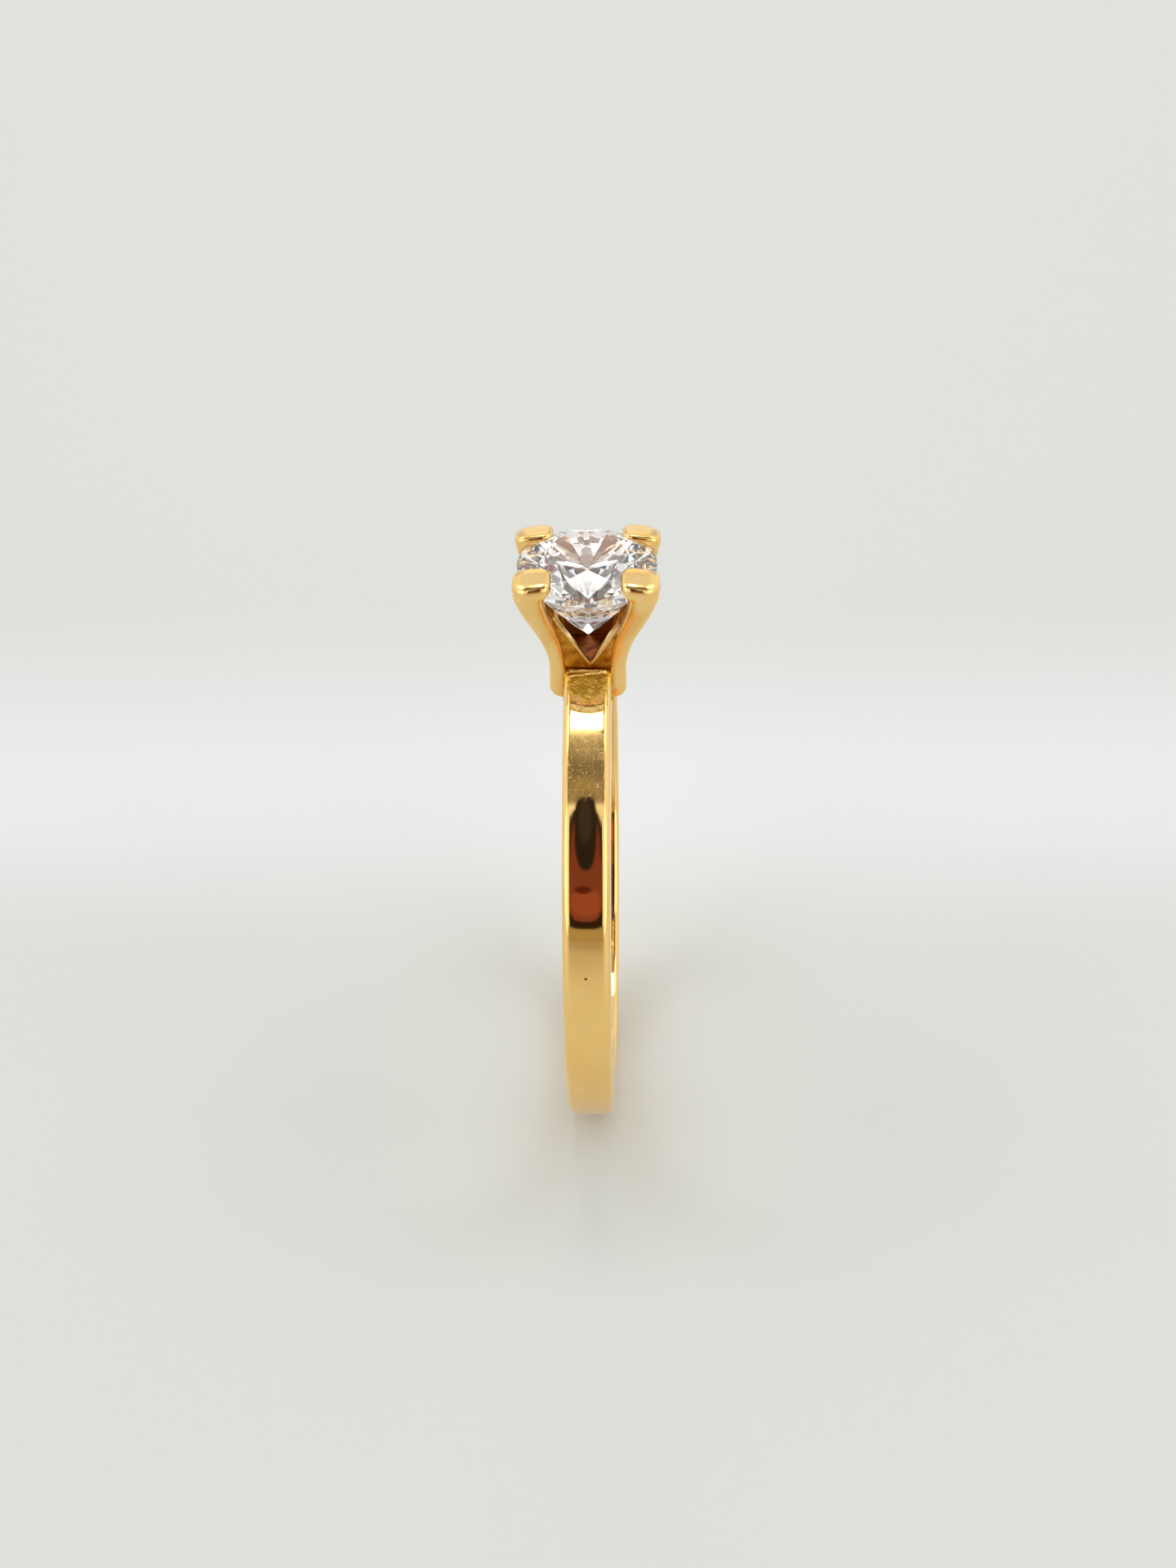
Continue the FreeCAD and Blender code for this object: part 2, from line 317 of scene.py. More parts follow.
# tone and deep are a finish's lightest and deepest colour, clean and rubbed its least and most
# roughness, and patch the size of the areas over which they change. grit is the spacing of its
# marks, scratch their height, along their stretch on x, y and z, and ripple the height of the slow
# waves from hand work. All sizes are in mm. Real marks are 0.01 to 0.05 mm apart, and grit draws
# them coarser than that so that they show
finishes = {
    # 18 carat yellow gold, lapped and buffed to a mirror: sharp warm reflections
    "mirrorPolishedGold": dict(tone="#FFD588", deep="#FDD080", clean=0.03, rubbed=0.06, patch=0.9,
                               grit=0.12, scratch=0.0003, ripple=0.0016, along=(3, 1, 1)),
    # cast 18 carat gold, smoothed with a mop by hand: softer, slightly wavy highlights
    "moppedClawGold": dict(tone="#FFD890", deep="#FBCC7A", clean=0.10, rubbed=0.18, patch=0.9,
                           grit=0.10, scratch=0.0008, ripple=0.006, along=(1, 1, 1)),
    # 18 carat gold left as the needle file cut it: broken, mottled reflections, in a deep amber tone that
    # is painted shade
    "filedGoldPaintedShade": dict(tone="#DFA23C", deep="#9A5C12", clean=0.18, rubbed=0.36, patch=0.32,
                      grit=0.11, scratch=0.016, ripple=0.014, along=(1, 1, 2.2)),
    # 18 carat gold as cast, in a dull dark brown that is painted shade
    "goldInPaintedShade": dict(tone="#8A4A04", deep="#4A2600", clean=0.30, rubbed=0.46, patch=0.35,
                      grit=0.10, scratch=0.008, ripple=0.020, along=(1, 1, 1)),
    # yellow gold solder, run by the torch and scraped back: greenish yellow, lumpy and pitted
    "runSolder": dict(tone="#F4D468", deep="#B58622", clean=0.20, rubbed=0.42, patch=0.25,
                      grit=0.19, scratch=0.11, ripple=0.030, along=(1, 1, 1)),
}

# what the finishes share: the slice of the patch noise that is used, and the length in mm of the
# slow waves
goldDetail = {"contrast": (0.35, 0.7), "wave": 1.6}


# one finish as a material. Where the attribute "inside" is 1, the face looks into the basket and takes
# painted shade: a darker tone, and a rougher finish, out of the mop's reach. Where the wear attribute
# is 1, the edge is burnished: smoother, with a painted highlight in a paler tone. zones may change the
# roughness, tone and normal by place
def goldMaterial(name, zones=None):
    f = finishes[name]
    low, high = goldDetail["contrast"]
    mat = bpy.data.materials.new(name)
    mat.use_nodes = True
    tree = mat.node_tree
    shader = tree.nodes["Principled BSDF"]
    shader.inputs["Metallic"].default_value = 1.0
    place = addNode(tree, "TexCoord")
    inside = addNode(tree, "Attribute", {"attribute_name": "inside"})
    stretched = addNode(tree, "Mapping", Vector=(place, "Object"), Scale=f["along"])
    marks = addNode(tree, "TexNoise", Vector=(stretched, 0), Scale=1 / (f["grit"] * mm), Detail=3.0,
                    Roughness=0.7)
    patches = addNode(tree, "TexNoise", Vector=(place, "Object"), Scale=1 / (f["patch"] * mm),
                      Detail=4.0)
    rubbed = addNode(tree, "MapRange", Value=(patches, 0), From_Min=low, From_Max=high,
                     To_Min=f["clean"], To_Max=f["rubbed"])
    wearAndHighlight = addNode(tree, "Attribute", {"attribute_name": "wearAndHighlight"})
    keen = addNode(tree, "Mix", {"data_type": "FLOAT"}, i0=(wearAndHighlight, "Fac"), i2=(rubbed, 0),
                   i3=burnishAndHighlight["roughness"])
    dull = addNode(tree, "Mix", {"data_type": "FLOAT"}, i0=(inside, "Fac"), i2=(keen, 0),
                   i3=paintedShade["roughness"])
    share = addNode(tree, "MapRange", Value=(patches, 0), From_Min=low, From_Max=high)
    colour = addNode(tree, "Mix", {"data_type": "RGBA"}, i0=(share, 0), i6=linearColour(f["tone"]),
                     i7=linearColour(f["deep"]))
    # a painted highlight on burnished edges, then painted shade on faces that look into the basket
    colour = addNode(tree, "Mix", {"data_type": "RGBA"}, i0=(wearAndHighlight, "Fac"), i6=(colour, 2),
                     i7=linearColour(burnishAndHighlight["tone"]))
    colour = addNode(tree, "Mix", {"data_type": "RGBA"}, i0=(inside, "Fac"), i6=(colour, 2),
                     i7=linearColour(paintedShade["tone"]))
    wave = addNode(tree, "TexNoise", Vector=(place, "Object"), Scale=1 / (goldDetail["wave"] * mm),
                   Detail=1.0)
    soft = addNode(tree, "Bump", Strength=1.0, Distance=f["ripple"] * mm, Height=(wave, 0))
    fine = addNode(tree, "Bump", Strength=1.0, Distance=f["scratch"] * mm, Height=(marks, 0),
                   Normal=(soft, 0))
    roughness, tone, normal = (dull, 0), (colour, 2), (fine, 0)
    if zones:
        roughness, tone, normal = zones(tree, place, roughness, tone, normal)
    tree.links.new(roughness[0].outputs[roughness[1]], shader.inputs["Roughness"])
    tree.links.new(tone[0].outputs[tone[1]], shader.inputs["Base Color"])
    tree.links.new(normal[0].outputs[normal[1]], shader.inputs["Normal"])
    return mat


# the band's sizes in mm, with the swell near the head in mm and in degrees from the stone
band = {
    "radius": 10.0, "bore": 8.5, "width": 1.82, "crown": 0.024,
    "outerEdge": 0.3, "innerEdge": 0.2, "turns": 540,
    "faceSteps": 17, "cornerSteps": 12, "boreSteps": 7,
    "swell": 0.05, "swellFrom": 15.0, "swellTo": 24.5, "swellDepth": (0.5, 0.25),
}


# how much thicker the band is near the head, by degrees from the stone: a smooth step down
def bandSwell(degrees):
    return band["swell"] * (1 - smoothStep(band["swellFrom"], band["swellTo"], np.abs(degrees)))


# places on the band by degrees from the stone, the same in front and behind: the file has been
# over it close to the head, and below that a soft mop has left fine scratches. face is how far
# under the rim the marks end and begin to fade, in mm, and ragged how far their borders wander,
# in degrees. The hairlines are 0.05 mm apart and 0.45 mm long, several times coarser than real
# ones so that they show. The casting pit is drawn only as painted shade, and pitCore is the share of it
# where that shade is darkest
bandZones = {
    "filed": (16.2, 18.0), "filedRoughness": 0.30, "pits": 0.22, "pitHeight": 0.016,
    "satin": (24.4, 26.4, 40.0, 42.4), "face": (0.16, 0.06), "wander": 0.35, "ragged": 1.6,
    "hair": 0.45, "hairStretch": (9, 1, 1), "hairContrast": (0.35, 0.65),
    "hairShine": (0.08, 0.20), "hairHeight": 0.0032,
    "scratch": 0.6, "scratchWidth": (0.006, 0.002), "scratchRoughness": 0.5,
    "scratchRuns": (((1, 1, 3), (0.5, 0, 0)), ((2.5, 1, 1), (0, 0.6, 0.9))),
    "pit": (-0.03, -9.887, 1.495), "pitRadius": 0.08, "pitCore": 0.4, "pitShadeTone": "#7A4A1C",
}


# the zones as changes to the mirror polish's roughness, tone and normal
def bandFinish(tree, place, roughness, tone, normal):
    z = bandZones
    xyz = addNode(tree, "SeparateXYZ", Vector=(place, "Object"))
    across = addNode(tree, "Math", {"operation": "ABSOLUTE"}, i0=(xyz, "Y"))
    angle = addNode(tree, "Math", {"operation": "ARCTAN2"}, i0=(across, 0), i1=(xyz, "Z"))
    angle = addNode(tree, "Math", {"operation": "DEGREES"}, i0=(angle, 0))
    # only the outer face is worked, so the marks stop at the band's edge
    flat = addNode(tree, "VectorMath", {"operation": "MULTIPLY"}, i0=(place, "Object"), i1=(0, 1, 1))
    radius = addNode(tree, "VectorMath", {"operation": "LENGTH"}, i0=(flat, 0))
    face = addNode(tree, "MapRange", Value=(radius, "Value"), From_Min=(band["radius"] - z["face"][0]) * mm,
                   From_Max=(band["radius"] - z["face"][1]) * mm)
    wander = addNode(tree, "TexNoise", Vector=(place, "Object"), Scale=1 / (z["wander"] * mm),
                     Detail=3.0)
    ragged = addNode(tree, "MapRange", Value=(wander, 0), To_Min=-z["ragged"], To_Max=z["ragged"])
    edge = addNode(tree, "Math", {"operation": "ADD"}, i0=(angle, 0), i1=(ragged, 0))
    filed = addNode(tree, "MapRange", {"interpolation_type": "SMOOTHSTEP"}, Value=(edge, 0),
                    From_Min=z["filed"][1], From_Max=z["filed"][0])
    start = addNode(tree, "MapRange", {"interpolation_type": "SMOOTHSTEP"}, Value=(edge, 0),
                    From_Min=z["satin"][0], From_Max=z["satin"][1])
    stop = addNode(tree, "MapRange", {"interpolation_type": "SMOOTHSTEP"}, Value=(edge, 0),
                   From_Min=z["satin"][3], From_Max=z["satin"][2])
    satin = addNode(tree, "Math", {"operation": "MULTIPLY"}, i0=(start, 0), i1=(stop, 0))
    satin = addNode(tree, "Math", {"operation": "MULTIPLY"}, i0=(satin, 0), i1=(face, 0))
    filed = addNode(tree, "Math", {"operation": "MULTIPLY"}, i0=(filed, 0), i1=(face, 0))
    # hairlines along the band, and the file's coarser pits
    lines = addNode(tree, "Mapping", Vector=(place, "Object"), Scale=z["hairStretch"])
    hair = addNode(tree, "TexNoise", Vector=(lines, 0), Scale=1 / (z["hair"] * mm), Detail=5.0,
                   Roughness=0.8)
    pits = addNode(tree, "TexNoise", Vector=(place, "Object"), Scale=1 / (z["pits"] * mm), Detail=4.0)
    shine = addNode(tree, "MapRange", Value=(hair, 0), From_Min=z["hairContrast"][0],
                    From_Max=z["hairContrast"][1], To_Min=z["hairShine"][0], To_Max=z["hairShine"][1])
    roughness = addNode(tree, "Mix", {"data_type": "FLOAT"}, i0=(satin, 0), i2=roughness, i3=(shine, 0))
    roughness = addNode(tree, "Mix", {"data_type": "FLOAT"}, i0=(filed, 0), i2=(roughness, 0),
                        i3=z["filedRoughness"])
    # single scratches: thin contour lines of a stretched noise, in two directions
    scored = None
    for stretch, turn in z["scratchRuns"]:
        lines = addNode(tree, "Mapping", Vector=(place, "Object"), Scale=stretch, Rotation=turn)
        field = addNode(tree, "TexNoise", Vector=(lines, 0), Scale=1 / (z["scratch"] * mm), Detail=1.5)
        middle = addNode(tree, "Math", {"operation": "SUBTRACT"}, i0=(field, 0), i1=0.5)
        middle = addNode(tree, "Math", {"operation": "ABSOLUTE"}, i0=(middle, 0))
        line = addNode(tree, "MapRange", Value=(middle, 0), From_Min=z["scratchWidth"][0],
                       From_Max=z["scratchWidth"][1])
        if scored:
            line = addNode(tree, "Math", {"operation": "MAXIMUM"}, i0=(scored, 0), i1=(line, 0))
        scored = line
    scored = addNode(tree, "Math", {"operation": "MULTIPLY"}, i0=(scored, 0), i1=(satin, 0))
    roughness = addNode(tree, "Mix", {"data_type": "FLOAT"}, i0=(scored, 0), i2=(roughness, 0),
                        i3=z["scratchRoughness"])
    hairBump = addNode(tree, "Bump", Strength=(satin, 0), Distance=z["hairHeight"] * mm,
                       Height=(hair, 0), Normal=normal)
    pitBump = addNode(tree, "Bump", Strength=(filed, 0), Distance=z["pitHeight"] * mm,
                      Height=(pits, 0), Normal=(hairBump, 0))
    # one tiny casting pit, with no hollow in the surface: painted shade, darkest at its bottom
    pitDistance = addNode(tree, "VectorMath", {"operation": "DISTANCE"}, i0=(place, "Object"),
                          i1=tuple(c * mm for c in z["pit"]))
    pit = addNode(tree, "MapRange", {"interpolation_type": "SMOOTHSTEP"}, Value=(pitDistance, "Value"),
                  From_Min=z["pitRadius"] * mm, From_Max=z["pitCore"] * z["pitRadius"] * mm)
    tone = addNode(tree, "Mix", {"data_type": "RGBA"}, i0=(pit, 0), i6=tone,
                   i7=linearColour(z["pitShadeTone"]))
    return (roughness, 0), (tone, 2), (pitBump, 0)


# the outline across the band: (x, radius) points, a shallow arc outside that falls with the square
# of x, quarter circles at the four corners, and straight sides and bore
def bandOutline():
    half, outer, inner = band["width"] / 2, band["outerEdge"], band["innerEdge"]
    flat = half - outer
    quarter = np.linspace(0, np.pi / 2, band["cornerSteps"])
    top = np.linspace(-flat, flat, band["faceSteps"])[1:-1]
    crown = band["radius"] - band["crown"] * (top / flat) ** 2
    shoulder = band["radius"] - band["crown"] - outer
    left = np.stack([-flat - outer * np.cos(quarter), shoulder + outer * np.sin(quarter)], axis=1)
    right = np.stack([flat + outer * np.sin(quarter), shoulder + outer * np.cos(quarter)], axis=1)
    bore, reach = band["bore"] + inner, half - inner
    lowRight = np.stack([reach + inner * np.cos(quarter), bore - inner * np.sin(quarter)], axis=1)
    lowLeft = np.stack([-reach - inner * np.sin(quarter), bore - inner * np.cos(quarter)], axis=1)
    inside = np.linspace(reach, -reach, band["boreSteps"])[1:-1]
    bottom = np.stack([inside, np.full(inside.shape, band["bore"])], axis=1)
    return np.concatenate([left, np.stack([top, crown], axis=1), right, lowRight, bottom, lowLeft])


# the outline carried once around the finger axis: y is minus radius times sine, z radius times
# cosine, and the swell lifts only the outer part
def makeShank(material):
    outline = bandOutline()
    angle = np.linspace(0, 2 * np.pi, band["turns"], endpoint=False)[:, None]
    x = np.broadcast_to(outline[:, 0], (band["turns"], len(outline)))
    turned = np.degrees(np.arctan2(np.sin(angle), np.cos(angle)))
    low, high = (band["radius"] - depth for depth in band["swellDepth"])
    outer = smoothStep(low, high, outline[:, 1])
    radius = outline[:, 1] + bandSwell(turned) * outer
    grid = np.stack([x, -radius * np.sin(angle), radius * np.cos(angle)], axis=-1)
    rows, columns, _ = grid.shape
    faces = ringQuads(rows + 1, columns) % (rows * columns)
    addPiece("shank_band", grid.reshape(-1, 3), faces[:, ::-1].tolist(), material, ["shank"])


# the stone's sizes in mm, which the claws and webs are cut to
stone = {
    "radius": 2.68, "table": 1.5, "crown": 0.58, "girdle": 0.42, "pavilion": 2.74,
    "girdleTop": 13.87, "gap": 0.02,
}


# moves points that lie inside the stone's cone, girdle and crown onto its surface:
# below the girdle's top outwards from the axis, and above it straight up
def cutSeat(points):
    x, y, z = points[..., 0], points[..., 1], points[..., 2]
    r = np.maximum(np.hypot(x, y), 1e-6)    # kept above zero, because it divides
    top, bottom = stone["girdleTop"], stone["girdleTop"] - stone["girdle"]
    culet = bottom - stone["pavilion"]
    wide = stone["radius"] + stone["gap"]
    cone = np.clip((z - culet) / stone["pavilion"], 0, 1) * wide
    slope = stone["crown"] / (stone["radius"] - stone["table"])
    crown = top + slope * (wide - r)
    push = np.where((z < top) & (r < cone), cone / r, 1.0)
    lifted = np.where((z >= top) & (r < wide) & (z < crown), crown, z)
    return np.stack([x * push, y * push, lifted], axis=-1)


# the claws' sizes in mm. innerX, outerX, innerY and outerY are where a side stands at the foot, at
# the top, and on the pad if it differs there. The slopes let the pad fall away outwards, and a
# section is squarer the larger its square is. toeStart, in radians, keeps the toe's first ring of
# points open. The two shade ranges are the parts of the section, from -1 outside to 1 inside, over
# which painted shade, on the faces that look into the basket, comes in fully and faintly
claws = {
    "foot": 8.62, "footRound": 0.55, "toeStart": 0.02, "toeTaper": 0.85,
    "sweepStart": 9.95, "sweepEnd": 14.2,
    "padStart": 13.5, "padFull": 13.9, "tiltStart": 13.3, "capStart": 13.98, "capHeight": 0.34,
    "innerX": (0.84, 1.66, 1.32), "outerX": (1.48, 2.82),
    "innerY": (0.75, 1.5, 1.14), "outerY": (1.42, 2.57),
    "slopeX": 0.11, "slopeY": 0.15, "square": (5.5, 3.6), "cornerSquare": (3.0, 2.2), "capSquare": 3.4,
    "around": 112, "toeSteps": 16, "bodySteps": 96, "capSteps": 32,
    "innerPaintedShade": (0.35, 0.8), "dusky": (-0.75, 0.3), "duskyShare": 0.42, "duskyFade": 0.6,
}


# an S from low to high between the sweep's start and end: three t squared minus two t cubed
def sweepOut(low, high, z):
    return low + (high - low) * smoothStep(claws["sweepStart"], claws["sweepEnd"], z)


# one claw: a rounded square section whose middle and widths follow the S; the section closes
# in a round toe below and in a domed pad above, where height to the power n plus width to the
# power n is one. The inner side of the toe stays against the band
def makeClaw(name, signX, signY, material):
    c = claws
    turn = np.linspace(c["toeStart"], np.pi / 2, c["toeSteps"])
    toe = c["foot"] + c["footRound"] * (1 - np.cos(turn))
    body = np.linspace(c["foot"] + c["footRound"], c["capStart"], c["bodySteps"])[1:]
    dome = np.linspace(0, np.pi / 2, c["capSteps"])[1:-1]
    cap = c["capStart"] + c["capHeight"] * np.sin(dome) ** (2 / c["capSquare"])
    z = np.concatenate([toe, body, cap])
    toeSize = np.concatenate([np.sin(turn) ** c["toeTaper"], np.ones(len(body) + len(cap))])
    capSize = np.concatenate([np.ones(len(toe) + len(body)), np.cos(dome) ** (2 / c["capSquare"])])
    level = np.minimum(z, c["capStart"])
    pad = smoothStep(c["padStart"], c["padFull"], level)
    x0, x1 = sweepOut(*c["innerX"][:2], level), sweepOut(*c["outerX"], level)
    y0, y1 = sweepOut(*c["innerY"][:2], level), sweepOut(*c["outerY"], level)
    x0, y0 = x0 + (c["innerX"][2] - x0) * pad, y0 + (c["innerY"][2] - y0) * pad
    x1 = x0 + (x1 - x0) * toeSize
    q = np.linspace(0, 2 * np.pi, c["around"], endpoint=False)[None, :]
    outwards = np.maximum(np.cos(q - np.pi / 4), 0) ** 2
    square, corner = (a + (b - a) * pad[:, None] for a, b in (c["square"], c["cornerSquare"]))
    power = square + (corner - square) * outwards
    reach = 1 / (np.abs(np.cos(q)) ** power + np.abs(np.sin(q)) ** power) ** (1 / power)
    wide, deep = ((x1 - x0) / 2 * capSize)[:, None], ((y1 - y0) / 2 * capSize * toeSize)[:, None]
    dx, dy = wide * reach * np.cos(q), deep * reach * np.sin(q)
    x, y = ((x0 + x1) / 2)[:, None] + dx, ((y0 + y1) / 2)[:, None] + dy
    tilt = smoothStep(c["tiltStart"], c["capStart"], level)[:, None]
    height = z[:, None] - tilt * (c["slopeX"] * dx + c["slopeY"] * dy)
    grid = cutSeat(np.stack([x, y, height], axis=-1)) * np.array([signX, signY, 1])
    # painted shade on the faces that look into the basket: full below the pad, and fainter over more of the
    # section
    inwards = -np.cos(q - np.pi / 4)
    below = 1 - smoothStep(c["padStart"] - c["duskyFade"], c["padFull"], level)[:, None]
    innerPaintedShade = smoothStep(*c["innerPaintedShade"], inwards) * (level < c["padFull"])[:, None]
    dusky = c["duskyShare"] * smoothStep(*c["dusky"], inwards) * below
    points, faces = closedSweep(grid)
    piece = addPiece(name + "_piece", points, faces, material, [name])
    mark(piece, "inside", np.maximum(innerPaintedShade, dusky))


# the webs' sizes in mm. out is how far each stands from the axis, foot and head its half widths
# below and above, notchHalf the half width where its V reaches the top, shift a sideways lean of
# its notch, and turn its direction in degrees. skin is the share of the wall's thickness, from the
# inner face, over which the painted shade fades out. The last two are how far up the wall the
# burnished rim, with its painted highlight, starts, and how far beside the notch's foot it is full
webs = {
    "bottom": 10.05, "notch": 10.14, "top": 12.7, "lean": 0.085, "thickness": 0.34, "edge": 0.04,
    "acrossSteps": 60, "upSteps": 24, "overSteps": 13,
    "skin": 0.12, "wearAndHighlightBand": 0.93, "wearAndHighlightFrom": 0.06,
    "front_web": {"out": 1.34, "notchHalf": 1.48, "foot": 1.145, "head": 1.82, "turn": 180,
                  "shift": -0.10, "bevel": (0.24, 0.04)},
    "back_web": {"out": 1.34, "notchHalf": 1.48, "foot": 1.145, "head": 1.82, "turn": 0,
                 "shift": 0, "bevel": (0.06, 0.06)},
    "left_web": {"out": 1.38, "notchHalf": 1.33, "foot": 1.085, "head": 1.72, "turn": 90,
                 "shift": 0, "bevel": (0.08, 0.05)},
    "right_web": {"out": 1.38, "notchHalf": 1.33, "foot": 1.085, "head": 1.72, "turn": 270,
                  "shift": 0, "bevel": (0.05, 0.08)},
}


# a notched wall: across u from -1 to 1 and around the section w, each section runs up the outside,
# over a rounded edge and down the inside. Its top follows the V, which rises with the size of u,
# and the outer edge is filed down by the bevel, a half sine of u on each side, in mm
def makeWeb(name, material):
    w, k = webs, webs[name]
    steps = w["acrossSteps"]
    u = np.concatenate([np.linspace(-1, 0, steps), np.linspace(0, 1, steps)[1:]])[:, None]
    side = np.abs(u)
    up, over = np.linspace(0, 1, w["upSteps"]), np.linspace(0, np.pi, w["overSteps"])[1:-1]
    outside = np.concatenate([np.ones(up.shape), (1 + np.cos(over)) / 2, np.zeros(up.shape)])[None, :]
    v = np.concatenate([up, np.ones(len(over)), up[::-1]])[None, :]
    crest = np.concatenate([np.zeros(up.shape), np.sin(over), np.zeros(up.shape)])[None, :]
    bevel = np.where(u < 0, k["bevel"][0], k["bevel"][1]) * np.sin(np.pi * np.minimum(side, 1))
    rise = k["head"] / k["notchHalf"]
    topZ = w["notch"] + side * (w["top"] - w["notch"]) * rise
    x = (side * k["foot"] + side * (k["head"] - k["foot"]) * v) * np.sign(u)
    x = x + k["shift"] * (1 - side) * v
    z = w["bottom"] + (topZ - w["bottom"] - bevel * outside) * v + w["edge"] * crest
    y = k["out"] + w["lean"] * (z - w["bottom"]) - w["thickness"] * (1 - outside)
    grid = cutSeat(np.stack([x, y, z], axis=-1))
    c, s = math.cos(math.radians(k["turn"])), math.sin(math.radians(k["turn"]))
    x, y = grid[..., 0] * c - grid[..., 1] * s, grid[..., 0] * s + grid[..., 1] * c
    points, faces = closedSweep(np.stack([x, y, grid[..., 2]], axis=-1))
    piece = addPiece(name + "_piece", points, faces, material, [name])
    # painted shade on the inner face, and a burnished rim with a painted highlight along the notch
    mark(piece, "inside", np.broadcast_to(1 - smoothStep(0.0, w["skin"], outside), x.shape))
    rim = smoothStep(w["wearAndHighlightBand"], 1.0, v) * smoothStep(0.0, w["wearAndHighlightFrom"], side)
    mark(piece, "wearAndHighlight", np.broadcast_to((outside > w["skin"]) * rim, x.shape))


# the cheeks' sizes in mm, and pinch, the share by which a cheek thins towards its ends
cheeks = {
    "inner": 0.94, "outer": 1.41, "foot": 8.87, "top": 10.02, "half": 0.8, "corner": 0.2,
    "pinch": 0.04, "cornerSteps": 10, "alongSteps": 24,
}


# a plate beside the band: a rectangle whose lower outer corner is a quarter circle, carried along
# y, and thinner with the square of y
def makeCheek(name, sign, material):
    c = cheeks
    quarter = np.linspace(0, np.pi / 2, c["cornerSteps"])
    lowX = c["outer"] - c["corner"] * (1 - np.sin(quarter))
    lowZ = c["foot"] + c["corner"] * (1 - np.cos(quarter))
    x = np.concatenate([[c["inner"]], lowX, [c["outer"], c["inner"]]])
    z = np.concatenate([[c["foot"]], lowZ, [c["top"], c["top"]]])
    y = np.linspace(-c["half"], c["half"], c["alongSteps"])[:, None]
    x, y, z = np.broadcast_arrays(x[None, :], y, z[None, :])
    x = c["inner"] + (x - c["inner"]) * (1 - c["pinch"] * (y / c["half"]) ** 2)
    points, faces = closedSweep(np.stack([sign * x, y, z], axis=-1))
    addPiece(name + "_piece", points, faces, material, [name])


# solder run out on the band in front of and behind the head. Angles are in degrees from the stone
# and heights in mm. second is the angle of the second ridge in the middle, and how much it changes
# towards a side. Each wave is its height, its rate along and across, and its start. grain is fine
# lumps, and hem the ragged lower border: how far back it lies, how it curves, and its waver
lip = {
    "from": 7.4, "to": 18.4, "half": 0.78, "under": 0.08, "film": 0.032, "dip": 0.02,
    "alongSteps": 120, "acrossSteps": 48,
    "first": 8.45, "second": (9.35, -0.75), "secondShare": 0.8, "ridge": 0.070, "ridgeWidth": 0.28,
    "level": 0.5, "waves": ((0.2, 1.9, 2.1, 0), (0.18, -1.3, 6.3, 1), (0.12, 3.7, -9, 0)),
    "grain": 0.22, "grainAcross": (22, 1.3, 1.7), "grainAlong": (4.1, 2, 3),
    "hemBack": 0.9, "hemCurve": 2.2, "hemWaver": (0.5, 5, 1), "hemFade": 1.4, "sideFade": (1.0, 0.86),
}


# a thin film on the band between two angles. Its height is two narrow ridges, bells of the angle,
# plus lumps, sums and products of sines, and it sinks under the band's surface towards its edges
def makeLip(name, sign, material):
    p = lip
    angle = np.linspace(p["from"], p["to"], p["alongSteps"])[:, None]
    across = np.linspace(-1, 1, p["acrossSteps"])[None, :]
    x = across * p["half"]
    second = p["second"][0] + p["second"][1] * across
    ridges = np.exp(-((angle - p["first"]) / p["ridgeWidth"]) ** 2)
    ridges = ridges + p["secondShare"] * np.exp(-((angle - second) / p["ridgeWidth"]) ** 2)
    lumps = p["level"]
    for height, rateAlong, rateAcross, start in p["waves"]:
        lumps = lumps + height * np.sin(rateAlong * angle + rateAcross * across + start)
    fine, sway, swayRate = p["grainAcross"]
    grain = np.sin(fine * across + sway * np.sin(swayRate * angle))
    fine, sway, swayRate = p["grainAlong"]
    lumps = lumps + p["grain"] * grain * np.sin(fine * angle + sway * np.sin(swayRate * across))
    waver, rate, start = p["hemWaver"]
    reach = p["to"] - p["hemBack"] - p["hemCurve"] * across ** 2 + waver * np.sin(rate * across + start)
    fade = smoothStep(0, p["hemFade"], reach - angle) * smoothStep(*p["sideFade"], np.abs(across))
    crown = band["crown"] * (x / (band["width"] / 2 - band["outerEdge"])) ** 2
    proud = (p["film"] * lumps + p["ridge"] * ridges) * fade - p["dip"] * (1 - fade)
    top = band["radius"] - crown + bandSwell(angle) + proud
    under = np.full(top.shape, band["radius"] - p["under"])
    radius = np.concatenate([top, under[:, ::-1]], axis=1)
    x = np.broadcast_to(np.concatenate([x, x[:, ::-1]], axis=1), radius.shape)
    turn = np.radians(angle)
    grid = np.stack([x, -sign * radius * np.sin(turn), radius * np.cos(turn)], axis=-1)
    points, faces = closedSweep(grid)
    piece = addPiece(name, points, faces, material, [])
    # painted shade over the solder up to the second ridge, except on the ridges, which are burnished with a
    # painted highlight
    paintedGrooveShade = (1 - np.minimum(ridges, 1)) * (angle < second) * np.ones(across.shape)
    mark(piece, "inside", np.concatenate([paintedGrooveShade, paintedGrooveShade[:, ::-1]], axis=1))
    mark(piece, "wearAndHighlight", np.concatenate([np.minimum(ridges, 1), 0 * ridges], axis=1))


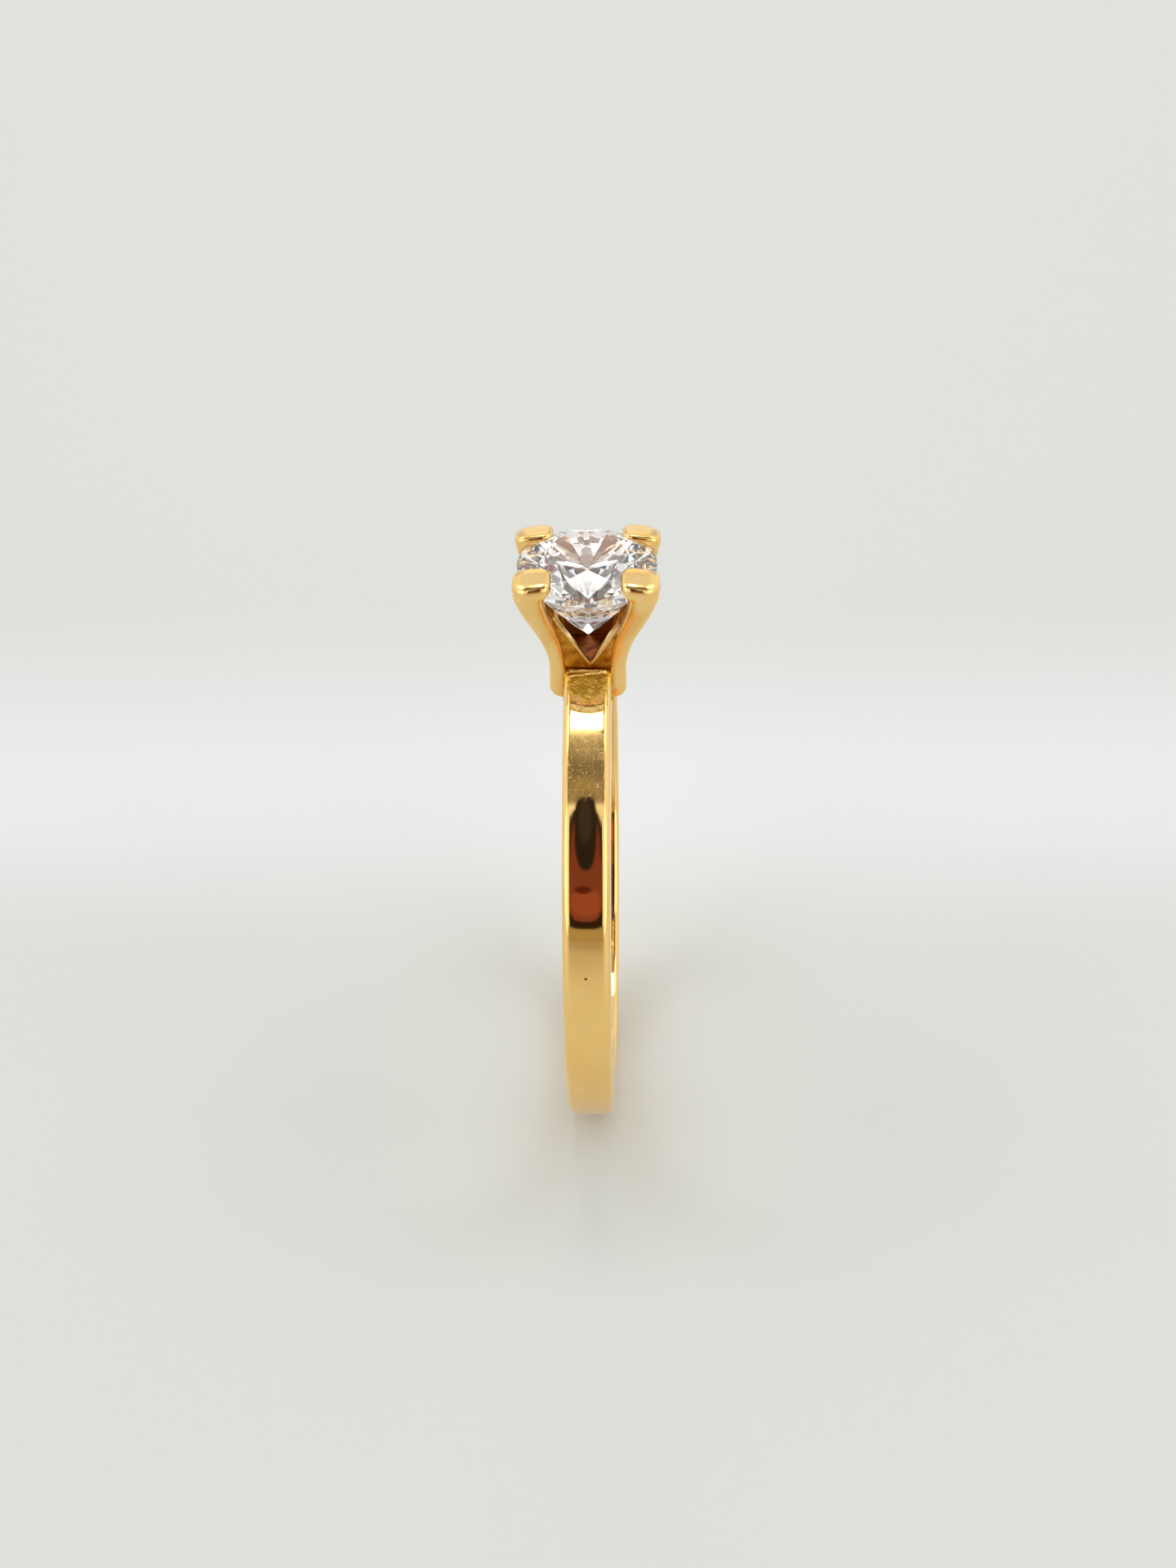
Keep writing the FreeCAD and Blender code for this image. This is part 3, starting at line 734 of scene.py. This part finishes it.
# smears are 1.1 mm apart; dull is the slice of the smear noise that shows, and haze its roughness
diamondLook = {
    "ior": 2.42, "clear": "#FFFFFF", "warm": "#FBFAF6", "smear": 1.1, "dull": (0.62, 0.8), "haze": 0.03,
}


# diamond, colourless, ground and polished on the wheel: sharp flat facets, clear all through, with
# the faintest smears of finger grease
def diamondMaterial():
    look = diamondLook
    mat = bpy.data.materials.new("cutDiamond")
    mat.use_nodes = True
    tree = mat.node_tree
    shader = tree.nodes["Principled BSDF"]
    shader.inputs["IOR"].default_value = look["ior"]
    shader.inputs["Transmission Weight"].default_value = 1.0
    place = addNode(tree, "TexCoord")
    smear = addNode(tree, "TexNoise", Vector=(place, "Object"), Scale=1 / (look["smear"] * mm),
                    Detail=3.0)
    dull = addNode(tree, "MapRange", Value=(smear, 0), From_Min=look["dull"][0],
                   From_Max=look["dull"][1], To_Min=0.0, To_Max=look["haze"])
    tree.links.new(dull.outputs[0], shader.inputs["Roughness"])
    tint = addNode(tree, "Mix", {"data_type": "RGBA"}, i0=(smear, 0), i6=linearColour(look["clear"]),
                   i7=linearColour(look["warm"]))
    tree.links.new(tint.outputs[2], shader.inputs["Base Color"])
    return mat


makeCamera()
makeStudio()
makeFloor()
print("camera, studio and floor ready")

polishedGold = goldMaterial("mirrorPolishedGold", bandFinish)
clawGold = goldMaterial("moppedClawGold")
filedGoldPaintedShade = goldMaterial("filedGoldPaintedShade")
solderGold = goldMaterial("runSolder")

makeShank(polishedGold)
for name, signX, signY in (("front_left_claw", -1, -1), ("front_right_claw", 1, -1),
                           ("back_left_claw", -1, 1), ("back_right_claw", 1, 1)):
    makeClaw(name, signX, signY, clawGold)
# the webs take the filed gold, whose deep amber tone is painted shade
for name in ("front_web", "back_web", "left_web", "right_web"):
    makeWeb(name, filedGoldPaintedShade)
makeCheek("left_cheek", -1, clawGold)
makeCheek("right_cheek", 1, clawGold)
makeLip("front_solder_lip", 1, solderGold)
makeLip("back_solder_lip", -1, solderGold)
print("band, claws, webs, cheeks and solder made")

# the head's base takes the dark brown gold, painted shade for the block under the stone
nodeMaterials = {
    "diamond": diamondMaterial(), "head_base": goldMaterial("goldInPaintedShade"), "head_solder": solderGold,
}
for name, material in nodeMaterials.items():
    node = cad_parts[name]
    node.data.materials.clear()
    node.data.materials.append(material)
print("finishes assigned")
